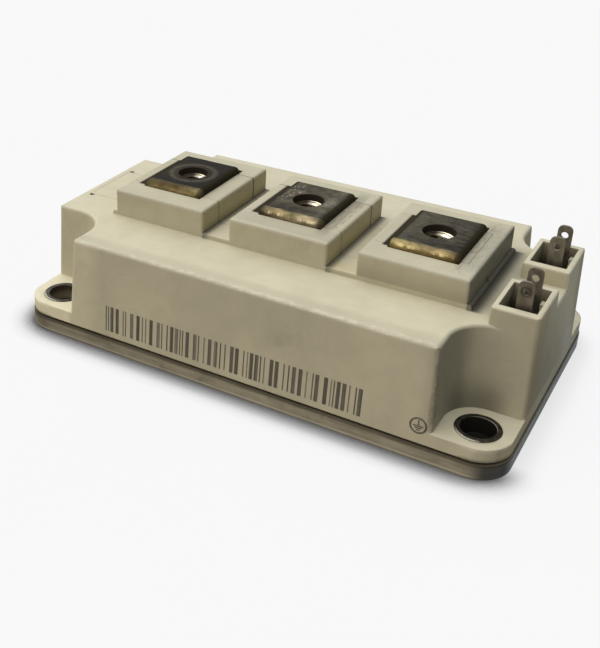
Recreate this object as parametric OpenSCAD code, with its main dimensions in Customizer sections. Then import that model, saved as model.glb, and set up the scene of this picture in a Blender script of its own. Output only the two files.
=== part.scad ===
// Half-bridge power module: plate-mounted housing, screw terminals on top, signal tabs at the +X end.
// Origin at the centre of the plate's underside. X runs along the terminals, Z is up.

/* [Baseplate] */
// Length of the plate along X
plate_l = 106.4; // [104:0.2:110]
// Width of the plate along Y
plate_w = 61.4; // [60:0.2:64]
// Thickness of the plate
plate_t = 3; // [2.5:0.1:4]
// Corner radius of the plate
plate_r = 6.7; // [4:0.1:8]
// Distance of the mounting holes from the plate's edges
hole_in = 6.7; // [6.2:0.1:7.2]
// Diameter of the mounting holes
hole_d = 6.5; // [5.5:0.1:7]

/* [Seal] */
// Height of the adhesive line between plate and housing
seal_t = 0.6; // [0.4:0.1:0.8]
// How far the adhesive line stays behind the edge of the housing
seal_inset = 0.5; // [0.2:0.1:1]

/* [Housing] */
// How far the housing's ends stay behind the plate's edge
body_in_x = 0.2; // [0:0.05:1]
// How far the housing's long sides stay behind the plate's edge
body_in_y = 0.25; // [0:0.05:1]
// Corner radius of the housing in plan
body_r = 6.4; // [4:0.1:8]
// Draft of the long sides, in degrees
side_draft = 3.8; // [0:0.1:5]
// Draft of the short ends, in degrees
end_draft = 1.5; // [0:0.1:3]
// Height of the flange's top face
flange_z = 6.2; // [5:0.1:8]
// Height of the housing's main top face
top_z = 23.2; // [21:0.1:25]
// Radius along the edges of the main top
edge_r = 0.8; // [0.4:0.1:1.6]
// Radius along the upright edges beside the notches
upright_r = 0.9; // [0.4:0.1:1.2]
// Thickness of the end walls at the foot
end_wall = 2.6; // [2:0.1:3]
// Thickness of the long walls at the foot
side_wall = 2.8; // [2.4:0.1:3.2]
// Thickness of the walls around the notches, at the flange
notch_wall = 2.9; // [2.6:0.1:3.2]
// Thickness of the top wall
roof_t = 2.5; // [2:0.1:3]

/* [Corner notches] */
// Radius of the notch around the hole, at the flange
notch_r = 6.4; // [6.2:0.1:7]
// Draft of the notch walls, in degrees
notch_draft = 3; // [0:0.1:4]
// Radius along the notch rim
rim_r = 0.8; // [0.4:0.1:1.5]

/* [Sleeves] */
// Outer diameter of the sleeves
sleeve_d = 8.4; // [8:0.1:9.4]
// How far a sleeve stands above the flange
sleeve_proud = 0.15; // [0:0.05:0.3]

/* [Pedestals] */
// Length of the plate beyond three terminal pitches
ends_l = 22.4; // [22:0.2:24]
// Gap between neighbouring pedestals
ped_gap = 6; // [5:0.2:8]
// Distance of the pedestals' long sides from the plate's edge
ped_in = 16.7; // [16.4:0.1:17.5]
// Height of the pedestals' top face
ped_z = 29.1; // [28.6:0.1:29.5]
// Radius along the pedestals' edges
ped_r = 0.7; // [0.3:0.1:1]
// Height of the floor between the pedestals
floor_z = 24.2; // [23.6:0.1:24.6]
// How far that floor reaches past the outer pedestals
floor_end = 0.8; // [0.4:0.1:1.5]
// Radius along the ends of that floor
floor_r = 0.7; // [0.2:0.1:0.9]

/* [Nut carrier] */
// Width of the carrier along Y
carrier_w = 15; // [14:0.1:16]
// Distance of the carrier's left end from the plate's edge
carrier_in = 2.6; // [2.5:0.1:6]
// How far the carrier reaches past the middle of the right terminal
carrier_end = 8.4; // [8:0.1:9]
// Height of the carrier's underside
carrier_z = 17; // [16:0.1:18]
// Wall of the trough that holds the carrier
trough_t = 1.5; // [1.2:0.1:2]
// Radius of the relief holes at the trough's left corners
relief_r = 0.6; // [0.3:0.05:0.8]

/* [Terminals] */
// Width of a terminal strap
strap_w = 14; // [13:0.1:14.2]
// Thickness of a terminal strap
strap_t = 1.4; // [1.2:0.1:1.5]
// Inner radius of the strap's fold
fold_r = 0.4; // [0.3:0.05:0.6]
// Radius along the strap's outer edges
coin_r = 0.9; // [0.4:0.1:1.1]
// Rear end of the strap's flat top on Y
strap_y1 = 8; // [7.6:0.1:8.4]
// Diameter of the screw hole in a strap
screw_d = 6.4; // [6.2:0.1:6.6]
// Width of the outer straps' narrow lower leg
leg_w = 7; // [6:0.5:7]
// Width of each of the middle strap's two legs
split_leg_w = 3.6; // [3:0.1:4]
// Length of a strap's soldered foot
foot_l = 5; // [3:0.5:5]
// Depth of the pocket behind a strap's free end
pocket_d = 1.6; // [1:0.1:2]
// Rear edge of that pocket on Y
pocket_y1 = 9.9; // [9:0.1:10.5]

/* [Nuts] */
// Width across flats of a nut
nut_af = 10; // [9.8:0.1:10.2]
// Height of a nut
nut_h = 5; // [4.8:0.1:5.2]
// Wall diameter of the nut's bore
nut_bore = 5; // [4.9:0.05:5.2]
// Diameter of the free space under a nut
free_d = 7; // [6.5:0.1:8]
// Depth that a screw can reach, from the top of the strap
screw_depth = 11.5; // [11:0.1:12]

/* [Signal wells] */
// Length of a well along X, at the foot of the end wall
well_l = 9.4; // [9:0.1:10]
// Width of a well along Y, at the flange
well_w = 14; // [13.4:0.1:14.6]
// Height of the wells' rim
well_z = 26.6; // [26:0.1:27.5]
// Thickness of the wells' walls that face along X
well_t = 1; // [0.8:0.1:1.4]
// Thickness of the wells' walls that face along Y
well_side = 1.5; // [1:0.1:1.8]
// Height of the wells' floor
well_floor_z = 16; // [15.5:0.1:17]
// Thickness of the wells' floor
well_floor_t = 1.5; // [1.2:0.1:2]
// Radius along the wells' edges
well_r = 0.5; // [0.3:0.1:0.7]

/* [Signal tabs] */
// Width of a tab
tab_w = 2.8; // [2.6:0.1:3]
// Thickness of a tab
tab_t = 0.5; // [0.5:0.1:0.8]
// Height of a tab's tip
tab_z = 31.6; // [31:0.1:33]
// Distance of the tabs' middle from the end of the housing
tab_in = 4.4; // [4:0.1:4.6]
// Distance of the outer tabs from the notch wall beside them
tab_side = 4.1; // [3.8:0.1:4.4]
// Distance between the two tabs of a well
tab_pitch = 6; // [5.6:0.1:6.4]
// Diameter of the hole in a tab
tab_hole = 1.4; // [1.2:0.1:1.5]
// Distance from the hole to the tip
tab_hole_dz = 2; // [1.8:0.1:2.6]
// Corner radius at the tip
tab_r = 1.1; // [0.5:0.1:1.3]

/* [Substrates] */
// Distance between the ceramic tiles
tile_gap = 4; // [3:0.2:5]
// Clearance between a tile and the end of its hollow
tile_end = 1.2; // [0.8:0.1:2]
// Clearance between a tile and the long walls
tile_side = 4.6; // [3.6:0.1:5.6]
// Thickness of the ceramic
tile_t = 0.6; // [0.4:0.1:0.8]
// Thickness of each copper layer
copper_t = 0.3; // [0.2:0.1:0.4]
// Edge of ceramic left free of copper
copper_edge = 1; // [0.6:0.1:1.5]

/* [Chips] */
// Side of a switch chip
switch_l = 11; // [9:0.5:11]
// Side of a diode chip
diode_l = 6; // [5:0.5:6]
// Thickness of the chips
chip_t = 0.25; // [0.2:0.05:0.4]
// Diameter of the bond wires
wire_d = 0.4; // [0.3:0.05:0.5]

/* [Gel] */
// Height of the gel's surface
gel_z = 12; // [10:0.5:13]

/* [Hidden] */
$fn = 64;
// small overlap that joins two pieces of one solid
eps = 0.01;
// how far the arc of a cut rounding stands past the faces it joins, so that it meets them in clean edges
arc_past = 0.005;
// running clearance of a seated piece, on each side
fit = 0.05;
// longer than any part
far = 80;

seat_z = plate_t + seal_t;
roof_z = top_z - roof_t;
well_base_z = well_floor_z - well_floor_t;
pitch = (plate_l - ends_l) / 3;
ped_l = pitch - ped_gap;
ped_w = plate_w - 2 * ped_in;
floor_x = pitch + ped_l / 2 + floor_end;
floor_side_r = 0.3;
relief_h = 2;
// ribs beside a tab: distance from its middle, width, length and height
rib_dx = tab_w / 2 + 0.6;
rib_w = 0.7;
rib_l = 1.6;
rib_h = 9;
hole_x = plate_l / 2 - hole_in;
hole_y = plate_w / 2 - hole_in;
body_hl = plate_l / 2 - body_in_x;
body_hw = plate_w / 2 - body_in_y;
body_l = 2 * body_hl;
body_w = 2 * body_hw;
// outward lean of a drafted wall per millimetre of height
side_lean = tan(side_draft);
end_lean = tan(end_draft);
notch_lean = tan(notch_draft);
// where the end face, the long side face and the notch wall stand at a given height
function end_face_x(z) = body_hl - (z - seat_z) * end_lean;
function side_face_y(z) = body_hw - (z - seat_z) * side_lean;
function notch_face_y(z) = hole_y - notch_r - (z - flange_z) * notch_lean;
// hollow of the housing: its wide middle part, and the part between the notches
cavity_l = 2 * (hole_x - notch_r - notch_wall);
cavity_w = body_w - 2 * side_wall;
cavity_end_l = body_l - 2 * end_wall;
cavity_end_w = 2 * (hole_y - notch_r - notch_wall);
well_x0 = body_hl - well_l;
well_y0 = hole_y - notch_r - well_w;
tab_x = body_hl - tab_in;
tab_y_out = hole_y - notch_r - tab_side;
tab_y_in = tab_y_out - tab_pitch;
// half the carrier, its ends, and where the straps pass in front of it
carrier_hw = carrier_w / 2;
carrier_x0 = carrier_in - plate_l / 2;
carrier_x1 = pitch + carrier_end;
strap_y0 = -carrier_hw - strap_t;
strap_z = ped_z + strap_t;
neck_z = carrier_z;
blind_z = strap_z - screw_depth;
nut_z = ped_z - nut_h;
// heights in the stack of a substrate
tile_z = plate_t + copper_t;
track_z = tile_z + tile_t;
pad_z = track_z + copper_t;
bond_z = pad_z + chip_t;
tile_l = cavity_l / 2 - tile_gap / 2 - tile_end;
tile_w = cavity_w - 2 * tile_side;
tile_x = (tile_gap + tile_l) / 2;
// a tile's copper, measured outward from the tile's middle
pad_hl = tile_l / 2 - copper_edge;
pad_hw = tile_w / 2 - copper_edge;
pin_pad_l = 2.8;
pin_pad_w = 4;
pad_gap = 0.6;
pin_pad = [pad_hl - pin_pad_l, pad_hl];
collector = [-4, pin_pad[0] - pad_gap];
gate = [-6.5, -5];
emitter = [-pad_hl, -8];
// chips on the collector: middle of the columns, rows of switches, row of diodes
chip_edge = 0.4;
chip_row = 12;
switch_x = 4;
switch_y = pad_hw - chip_edge - switch_l / 2;
switch_ys = [switch_y, switch_y - chip_row];
diode_xs = [0, 8];
diode_y = chip_edge + diode_l / 2 - pad_hw;
// bond wires: where they leave a chip, where they land, and their offsets from the chip's middle
wire_x = -0.5;
emitter_wire_x = -10;
gate_wire_x = -5.75;
stitch_xs = [7.5, 0.5];
wire_ys = [-3, 0, 3];
diode_wire_ys = [-1.5, 1.5];
gate_wire_y = 4.8;
// flat signal pin: lower edge and height of its arm, and its foot on X
pin_arm_z = 9;
pin_arm_h = 2;
pin_foot = [tile_x + pin_pad[0] + 0.5, tile_x + pin_pad[1] - 0.5];
// legs stand this far inside their copper: one on each collector, and two of the middle strap
leg_in = 0.4;
leg_x = tile_x + collector[1] - leg_in;
split_leg_x = tile_gap / 2 + copper_edge + leg_in;

terminal_xs = [-pitch, 0, pitch];
terminal_names = ["terminal_left", "terminal_middle", "terminal_right"];
nut_names = ["nut_left", "nut_middle", "nut_right"];
corners = [[-1, -1], [1, -1], [-1, 1], [1, 1]];
sleeve_names = ["sleeve_front_left", "sleeve_front_right", "sleeve_rear_left", "sleeve_rear_right"];
tab_places = [-tab_y_out, -tab_y_in, tab_y_in, tab_y_out];
tab_names = ["signal_tab_front_outer", "signal_tab_front_inner", "signal_tab_rear_inner",
             "signal_tab_rear_outer"];
sides = [-1, 1];
side_names = ["left", "right"];
switch_names = ["_rear", "_mid"];
diode_names = ["_inner", "_outer"];

// ---------- shared shapes ----------

// Rectangle about the origin with round corners, kept as true arcs.
module round_rect(l, w, r) {
    square([l - 2 * r, w], center = true);
    square([l, w - 2 * r], center = true);
    for (c = corners) translate([c[0] * (l / 2 - r), c[1] * (w / 2 - r)]) circle(r);
}

// Section from lo to hi, standing on z0 and reaching z1, with sides leaning inward and round top corners.
module stand_section(lo, hi, z0, z1, r, lean_lo = 0, lean_hi = 0) {
    h = z1 - z0 - r;
    a = lo + h * lean_lo;
    b = hi - h * lean_hi;
    polygon([[lo, z0], [hi, z0], [b, z1 - r], [b - r, z1], [a + r, z1], [a, z1 - r]]);
    for (x = [a + r, b - r]) translate([x, z1 - r]) circle(r);
}

// Sweep a section drawn in XZ along the whole of Y, or one drawn in YZ along the whole of X.
module along_y() translate([0, far, 0]) rotate([90, 0, 0]) linear_extrude(2 * far) children();
module along_x() translate([-far, 0, 0]) rotate([90, 0, 90]) linear_extrude(2 * far) children();

// Upright block from z0 to z1 over a rectangle, with all its outer edges round.
module soft_block(x, y, z0, z1, r) {
    intersection() {
        translate([(x[0] + x[1]) / 2, (y[0] + y[1]) / 2, z0]) linear_extrude(z1 - z0)
            round_rect(x[1] - x[0], y[1] - y[0], r);
        along_y() stand_section(x[0], x[1], z0, z1, r);
        along_x() stand_section(y[0], y[1], z0, z1, r);
    }
}

// One copy over each mounting hole.
module at_holes() {
    for (c = corners) translate([c[0] * hole_x, c[1] * hole_y, 0]) children();
}

// Frame of one mounting hole whose +X and +Y point out of the module.
module at_corner(c) {
    mirror([c[0] > 0 ? 0 : 1, 0, 0]) mirror([0, c[1] > 0 ? 0 : 1, 0])
        translate([hole_x, hole_y, 0]) children();
}

// ---------- baseplate, seal, sleeves ----------

module baseplate() {
    color("#b9b1a4") difference() {
        linear_extrude(plate_t) round_rect(plate_l, plate_w, plate_r);
        at_holes() translate([0, 0, -1]) cylinder(d = hole_d, h = plate_t + 2);
    }
}

// Plan of the hollow inside the housing.
module cavity_plan() {
    square([cavity_l, cavity_w], center = true);
    square([cavity_end_l, cavity_end_w], center = true);
}

module adhesive_seal() {
    color("#2b2823") translate([0, 0, plate_t]) linear_extrude(seal_t) difference() {
        round_rect(body_l - 2 * seal_inset, body_w - 2 * seal_inset, body_r - seal_inset);
        cavity_plan();
        at_holes() circle(d = sleeve_d + 4 * fit);
    }
}

module sleeve(c) {
    h = flange_z + sleeve_proud - plate_t;
    color("#8d8a84") translate([c[0] * hole_x, c[1] * hole_y, plate_t]) difference() {
        cylinder(d = sleeve_d, h = h);
        translate([0, 0, -1]) cylinder(d = hole_d, h = h + 2);
    }
}

// ---------- housing ----------

// Drafted outer faces up to the main top, with its long edges round.
module outer_body() {
    intersection() {
        translate([0, 0, seat_z]) linear_extrude(top_z - seat_z) round_rect(body_l, body_w, body_r);
        along_y() stand_section(-body_hl, body_hl, seat_z, top_z, edge_r, end_lean, end_lean);
        along_x() stand_section(-body_hw, body_hw, seat_z, top_z, edge_r, side_lean, side_lean);
    }
}

// Screw access over one mounting hole: a cone around the hole that runs tangent into two drafted walls.
module notch() {
    h = ped_z - flange_z;
    r1 = notch_r + h * notch_lean;
    wall = [[-notch_r, 0], [far, 0], [far, h], [-r1, h]];
    translate([0, 0, flange_z]) {
        cylinder(r1 = notch_r, r2 = r1, h = h);
        translate([0, far, 0]) rotate([90, 0, 0]) linear_extrude(far) polygon(wall);
        rotate([90, 0, 90]) linear_extrude(far) polygon(wall);
    }
}

// What is cut away to round a notch's rim: a groove around the cone and along both walls.
module rim_groove() {
    r = notch_r + (top_z - rim_r - flange_z) * notch_lean - arc_past;
    translate([0, 0, top_z]) {
        rotate_extrude() rim_section(r);
        translate([0, far, 0]) rotate([90, 0, 0]) linear_extrude(far) mirror([1, 0]) rim_section(r);
        rotate([90, 0, 90]) linear_extrude(far) mirror([1, 0]) rim_section(r);
    }
}

module rim_section(r) {
    difference() {
        translate([r - rim_r, -rim_r]) square(2 * rim_r);
        translate([r + rim_r, -rim_r]) circle(rim_r);
    }
}

// What is cut away to round an upright edge. The edge starts at x, y, z and leans back by the given
// amounts for each millimetre of height. The solid lies on its -X and -Y side.
module upright_groove(x, y, z, lean_x, lean_y, r) {
    intersection() {
        translate([x, y, z]) rotate([atan(lean_y), -atan(lean_x), 0])
            translate([arc_past - r, arc_past - r, -r]) linear_extrude(far) difference() {
                square(2 * r);
                circle(r);
            }
        translate([x - far / 2, y - far / 2, z]) cube(far);
    }
}

module pedestals() {
    for (x = terminal_xs)
        soft_block([x - ped_l / 2, x + ped_l / 2], [-ped_w / 2, ped_w / 2], roof_z, ped_z, ped_r);
}

// Slightly raised floor that the pedestals stand on: its section along X, from height z, and the whole.
module floor_band(z) along_y() stand_section(-floor_x, floor_x, z, floor_z, floor_r);

module raised_floor() {
    intersection() {
        floor_band(roof_z);
        along_x() stand_section(-ped_w / 2, ped_w / 2, roof_z, floor_z, floor_side_r);
    }
}

// Towers of the signal wells: their outer faces carry on the drafted faces of the housing's end and notch.
module well_tower() {
    x1 = end_face_x(top_z);
    y1 = notch_face_y(top_z);
    difference() {
        intersection() {
            along_y() stand_section(well_x0, end_face_x(well_base_z), well_base_z, well_z, well_r,
                                    0, end_lean);
            along_x() stand_section(well_y0, notch_face_y(well_base_z), well_base_z, well_z, well_r,
                                    0, notch_lean);
        }
        // upright edges above the main top, apart from the corner that the housing's end shares
        mirror([1, 0, 0]) upright_groove(-well_x0, y1, top_z, 0, notch_lean, well_r);
        mirror([0, 1, 0]) upright_groove(x1, -well_y0, top_z, end_lean, 0, well_r);
        mirror([1, 0, 0]) mirror([0, 1, 0]) upright_groove(-well_x0, -well_y0, top_z, 0, 0, well_r);
    }
}

module well_hollow() {
    x0 = well_x0 + well_t;
    y0 = well_y0 + well_side;
    translate([x0, y0, well_floor_z])
        cube([end_face_x(well_z) - well_t - x0, notch_face_y(well_z) - well_side - y0, well_z]);
}

// Pairs of ribs that guide the tabs inside the wells.
module tab_ribs() {
    for (t = tab_places, e = sides)
        translate([tab_x + e * rib_dx - rib_w / 2, t - rib_l / 2, well_floor_z - 1])
            cube([rib_w, rib_l, rib_h + 1]);
}

module tab_slots() {
    for (t = tab_places)
        translate([tab_x, t, well_floor_z]) cube([tab_w + 2 * fit, tab_t + 2 * fit, 3 * well_floor_t],
                                                 center = true);
}

// Hollow under the roof, which leaves the trough for the nut carrier and the floor of the wells.
module cavity() {
    difference() {
        translate([0, 0, seat_z - 1]) linear_extrude(roof_z - seat_z + 1) cavity_plan();
        translate([carrier_x0 - trough_t, -carrier_hw - trough_t, carrier_z - trough_t])
            cube([carrier_x1 - carrier_x0 + 2 * trough_t, carrier_w + 2 * trough_t, far]);
        translate([well_x0, -far / 2, well_base_z]) cube(far);
    }
}

// Trough that holds the nut carrier, with relief holes at its left corners.
module trough() {
    x0 = carrier_x0 - fit;
    hw = carrier_hw + fit;
    translate([x0, -hw, carrier_z]) cube([carrier_x1 + fit - x0, 2 * hw, far]);
    for (s = sides) translate([x0 + relief_r, s * (hw + relief_r / 2), top_z - relief_h])
        cylinder(r = relief_r, h = far);
}

// Slot that each strap comes up through, and the pocket behind its free end.
module strap_slots() {
    w = strap_w + 2 * fit;
    for (x = terminal_xs) translate([x - w / 2, 0, 0]) {
        translate([0, strap_y0 - fit, 0]) cube([w, strap_t + 3 * fit, far]);
        translate([0, carrier_hw, ped_z - pocket_d]) cube([w, pocket_y1 - carrier_hw, far]);
    }
}

// Both upright edges beside one notch: on the long side, and on the end.
module corner_grooves() {
    x1 = end_face_x(flange_z) - hole_x;
    y1 = side_face_y(flange_z) - hole_y;
    upright_groove(-notch_r, y1, flange_z, notch_lean, side_lean, upright_r);
    upright_groove(x1, -notch_r, flange_z, end_lean, notch_lean, upright_r);
}

module housing() {
    color("#d6ceb0") difference() {
        union() {
            difference() {
                outer_body();
                for (c = corners) at_corner(c) {
                    notch();
                    rim_groove();
                }
                cavity();
            }
            for (s = sides) mirror([0, s > 0 ? 0 : 1, 0]) well_tower();
            raised_floor();
            pedestals();
        }
        trough();
        strap_slots();
        difference() {
            for (s = sides) mirror([0, s > 0 ? 0 : 1, 0]) well_hollow();
            tab_ribs();
        }
        for (c = corners) at_corner(c) corner_grooves();
        tab_slots();
        at_holes() cylinder(d = sleeve_d + 2 * fit, h = flange_z + 1);
    }
}

// ---------- nut carrier and nuts ----------

// The carrier without its pockets: flush with the main top, the raised floor and the pedestals in turn.
module carrier_blank() {
    intersection() {
        union() {
            translate([carrier_x0, -far, carrier_z]) cube([2 * far, 2 * far, top_z - carrier_z]);
            floor_band(carrier_z);
            pedestals();
        }
        translate([carrier_x0, -carrier_hw, carrier_z]) cube([carrier_x1 - carrier_x0, carrier_w, far]);
    }
}

module nut_carrier() {
    bevel = fold_r * sqrt(2);
    color("#d2caac") difference() {
        carrier_blank();
        for (x = terminal_xs) translate([x, 0, 0]) {
            // hexagon pocket, free space for the screw's end, and a bevel under the strap's fold
            translate([0, 0, nut_z]) cylinder(d = (nut_af + 2 * fit) / cos(30), h = far, $fn = 6);
            translate([0, 0, blind_z]) cylinder(d = free_d, h = far);
            translate([0, -carrier_hw, ped_z]) rotate([45, 0, 0])
                cube([strap_w + 2 * fit, bevel, bevel], center = true);
        }
    }
}

module nut(x) {
    // widest radius left at the nut's faces by the turned corner chamfers
    face_r = nut_af / 2 - 0.1;
    color("#b7ae95") translate([x, 0, nut_z]) difference() {
        intersection() {
            cylinder(d = nut_af / cos(30), h = nut_h, $fn = 6);
            cylinder(r1 = face_r, r2 = face_r + 2 * nut_h, h = nut_h);
            cylinder(r1 = face_r + 2 * nut_h, r2 = face_r, h = nut_h);
        }
        translate([0, 0, -1]) cylinder(d = nut_bore, h = nut_h + 2);
    }
}

// ---------- main terminals ----------

// Section of a strap: width on X, thickness on Y, with the two outer corners coined round.
module strap_section() {
    hw = strap_w / 2;
    intersection() {
        translate([-hw, 0]) square([strap_w, strap_t]);
        union() {
            polygon([[-hw, 0], [hw, 0], [hw, strap_t - coin_r], [hw - coin_r, strap_t],
                     [coin_r - hw, strap_t], [-hw, strap_t - coin_r]]);
            for (s = sides) translate([s * (hw - coin_r), strap_t - coin_r]) circle(coin_r);
        }
    }
}

// Leg below the neck with its soldered foot, between two places on X.
module strap_leg(x0, x1) {
    translate([x0, strap_y0, pad_z]) cube([x1 - x0, strap_t, neck_z - pad_z + eps]);
    translate([x0, -carrier_hw - foot_l, pad_z]) cube([x1 - x0, foot_l, strap_t]);
}

// One folded strap: legs, upright, fold and flat top with the screw hole.
module terminal(x) {
    y_fold = fold_r - carrier_hw;
    z_fold = ped_z - fold_r;
    color("#7d7364") translate([x, 0, 0]) difference() {
        union() {
            translate([0, -carrier_hw, neck_z]) linear_extrude(z_fold - neck_z)
                mirror([0, 1]) strap_section();
            translate([0, y_fold, z_fold]) rotate([90, 0, -90]) rotate_extrude(angle = 90)
                translate([fold_r, 0]) rotate(-90) mirror([1, 0]) strap_section();
            translate([0, strap_y1, ped_z]) rotate([90, 0, 0]) linear_extrude(strap_y1 - y_fold)
                strap_section();
            if (x == 0) for (s = sides) mirror([s > 0 ? 0 : 1, 0, 0])
                strap_leg(split_leg_x, split_leg_x + split_leg_w);
            else mirror([x > 0 ? 0 : 1, 0, 0]) strap_leg(leg_x - leg_w - pitch, leg_x - pitch);
        }
        translate([0, 0, ped_z - 1]) cylinder(d = screw_d, h = strap_t + 2);
    }
}

// ---------- signal tabs ----------

// One stamped pin: tab above, arm inside, foot on its copper pad.
module signal_tab(y) {
    color("#6f675a") translate([0, y + tab_t / 2, 0]) rotate([90, 0, 0]) linear_extrude(tab_t)
        difference() {
            union() {
                stand_section(tab_x - tab_w / 2, tab_x + tab_w / 2, pin_arm_z, tab_z, tab_r);
                translate([pin_foot[0], pin_arm_z]) square([tab_x - pin_foot[0], pin_arm_h]);
                translate([pin_foot[0], pad_z])
                    square([pin_foot[1] - pin_foot[0], pin_arm_z + pin_arm_h - pad_z]);
            }
            translate([tab_x, tab_z - tab_hole_dz]) circle(d = tab_hole);
        }
}

// ---------- substrates, chips and wires ----------

// Frame of one substrate: +X points away from the module's middle.
module at_tile(s) mirror([s > 0 ? 0 : 1, 0, 0]) translate([tile_x, 0, 0]) children();

// Copper pad between two places on X, over a length on Y.
module pad(x, w, y = 0) {
    translate([x[0], y - w / 2, track_z]) cube([x[1] - x[0], w, copper_t]);
}

module copper_back(s) {
    color("#b87345") at_tile(s) translate([0, 0, plate_t + copper_t / 2])
        cube([tile_l - 2 * copper_edge, tile_w - 2 * copper_edge, copper_t], center = true);
}

module ceramic_tile(s) {
    color("#eeebe2") at_tile(s) translate([0, 0, tile_z + tile_t / 2])
        cube([tile_l, tile_w, tile_t], center = true);
}

module copper_tracks(s) {
    color("#c07f4f") at_tile(s) {
        for (x = [collector, gate, emitter]) pad(x, 2 * pad_hw);
        for (y = tab_places) pad(pin_pad, pin_pad_w, y);
    }
}

module chip(s, x, y, side) {
    color("#5d6068") at_tile(s) translate([x, y, pad_z + chip_t / 2])
        cube([side, side, chip_t], center = true);
}

// Wire from a chip's top at x0 in a half circle to x1, and down onto what lies below.
module wire(x0, x1, y, drop) {
    r = (x0 - x1) / 2;
    translate([x1 + r, y, bond_z]) rotate([90, 0, 0]) rotate_extrude(angle = 180) translate([r, 0])
        circle(d = wire_d);
    translate([x1, y, bond_z - drop]) cylinder(d = wire_d, h = drop);
}

module bond_wires(s) {
    color("#d9d9d6") at_tile(s) {
        for (y = switch_ys) {
            for (dy = wire_ys) wire(wire_x, emitter_wire_x, y + dy, chip_t);
            wire(wire_x, gate_wire_x, y + gate_wire_y, chip_t);
        }
        for (dy = diode_wire_ys) {
            wire(wire_x, emitter_wire_x, diode_y + dy, chip_t);
            wire(stitch_xs[0], stitch_xs[1], diode_y + dy, 0);
        }
    }
}

// Everything that stands in the gel.
module gel_contents() {
    for (x = terminal_xs) terminal(x);
    for (y = tab_places) signal_tab(y);
    for (s = sides) {
        copper_back(s);
        ceramic_tile(s);
        copper_tracks(s);
        for (y = switch_ys) chip(s, switch_x, y, switch_l);
        for (x = diode_xs) chip(s, x, diode_y, diode_l);
        bond_wires(s);
    }
}

module silicone_gel() {
    color("#c9d4d8") difference() {
        translate([0, 0, plate_t]) linear_extrude(gel_z - plate_t) cavity_plan();
        gel_contents();
    }
}

// ---------- nodes ----------

baseplate();
adhesive_seal();
housing();
nut_carrier();
for (i = [0:2]) terminal(terminal_xs[i]);
for (i = [0:2]) nut(terminal_xs[i]);
for (i = [0:3]) sleeve(corners[i]);
for (i = [0:3]) signal_tab(tab_places[i]);
for (i = [0:1]) {
    copper_back(sides[i]);
    ceramic_tile(sides[i]);
    copper_tracks(sides[i]);
    bond_wires(sides[i]);
    for (j = [0:1]) {
        chip(sides[i], switch_x, switch_ys[j], switch_l);
        chip(sides[i], diode_xs[j], diode_y, diode_l);
    }
}
silicone_gel();
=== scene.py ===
import math

import bmesh
import bpy
from mathutils import Matrix, Vector


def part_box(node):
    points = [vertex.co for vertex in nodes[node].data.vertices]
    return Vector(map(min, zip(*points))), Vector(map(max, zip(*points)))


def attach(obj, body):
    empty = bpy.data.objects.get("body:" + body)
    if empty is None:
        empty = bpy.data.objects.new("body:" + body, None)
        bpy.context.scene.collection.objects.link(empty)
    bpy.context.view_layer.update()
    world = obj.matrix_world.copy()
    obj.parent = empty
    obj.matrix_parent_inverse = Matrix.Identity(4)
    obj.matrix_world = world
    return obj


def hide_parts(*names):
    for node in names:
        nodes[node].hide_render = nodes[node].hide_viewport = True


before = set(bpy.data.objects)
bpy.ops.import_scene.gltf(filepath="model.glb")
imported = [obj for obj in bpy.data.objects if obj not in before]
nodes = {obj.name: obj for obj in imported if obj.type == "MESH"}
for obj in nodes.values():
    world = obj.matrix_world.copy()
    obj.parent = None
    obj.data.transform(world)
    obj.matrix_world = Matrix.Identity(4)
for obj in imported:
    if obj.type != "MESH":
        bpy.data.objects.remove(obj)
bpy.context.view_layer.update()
MM = 0.001

# ---------------------------------------------------------------- sizes, in mm of the CAD frame


def mm_box(name):
    """Lowest and highest corner of a CAD node in millimetres."""
    lo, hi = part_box(name)
    return [v * 1000 for v in lo], [v * 1000 for v in hi]


def centre(box, axis):
    """Middle of a box along one axis."""
    return (box[0][axis] + box[1][axis]) / 2


STRAPS = ("left", "middle", "right")
house_lo = mm_box("housing")[0]
carrier_hi = mm_box("nut_carrier")[1]
pedestal_top = carrier_hi[2]
carrier_half = carrier_hi[1]
straps = {key: mm_box("terminal_" + key) for key in STRAPS}
strap_x = {key: centre(box, 0) for key, box in straps.items()}
strap_top = straps["left"][1][2]
strap_half = (straps["left"][1][0] - straps["left"][0][0]) / 2
nut_lo, nut_hi = mm_box("nut_middle")
sleeve = mm_box("sleeve_front_right")
hole_x, hole_y = centre(sleeve, 0), -centre(sleeve, 1)
tab_hi = mm_box("signal_tab_front_outer")[1]
tab_x = tab_hi[0] - 1.4
tab_hole_z = tab_hi[2] - 2.0

# heights of the flange, the main top, the floor between the pedestals and the wells' rims
FLANGE_Z, ROOF_Z, FLOOR_Z, WELL_Z = 6.2, 23.2, 24.2, 26.6
# half the length and half the depth of a pedestal
PED_X, PED_Y = 11.0, 14.0
# the long sides lean inwards by 3.8 degrees
SIDE_LEAN = math.tan(math.radians(3.8))
# print stands this far proud of the plastic
PRINT_LIFT = 0.02


def front_face_y(z):
    """The leaning front face at height z."""
    return house_lo[1] + (z - house_lo[2]) * SIDE_LEAN


# ---------------------------------------------------------------- tones that differ by strap

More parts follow.
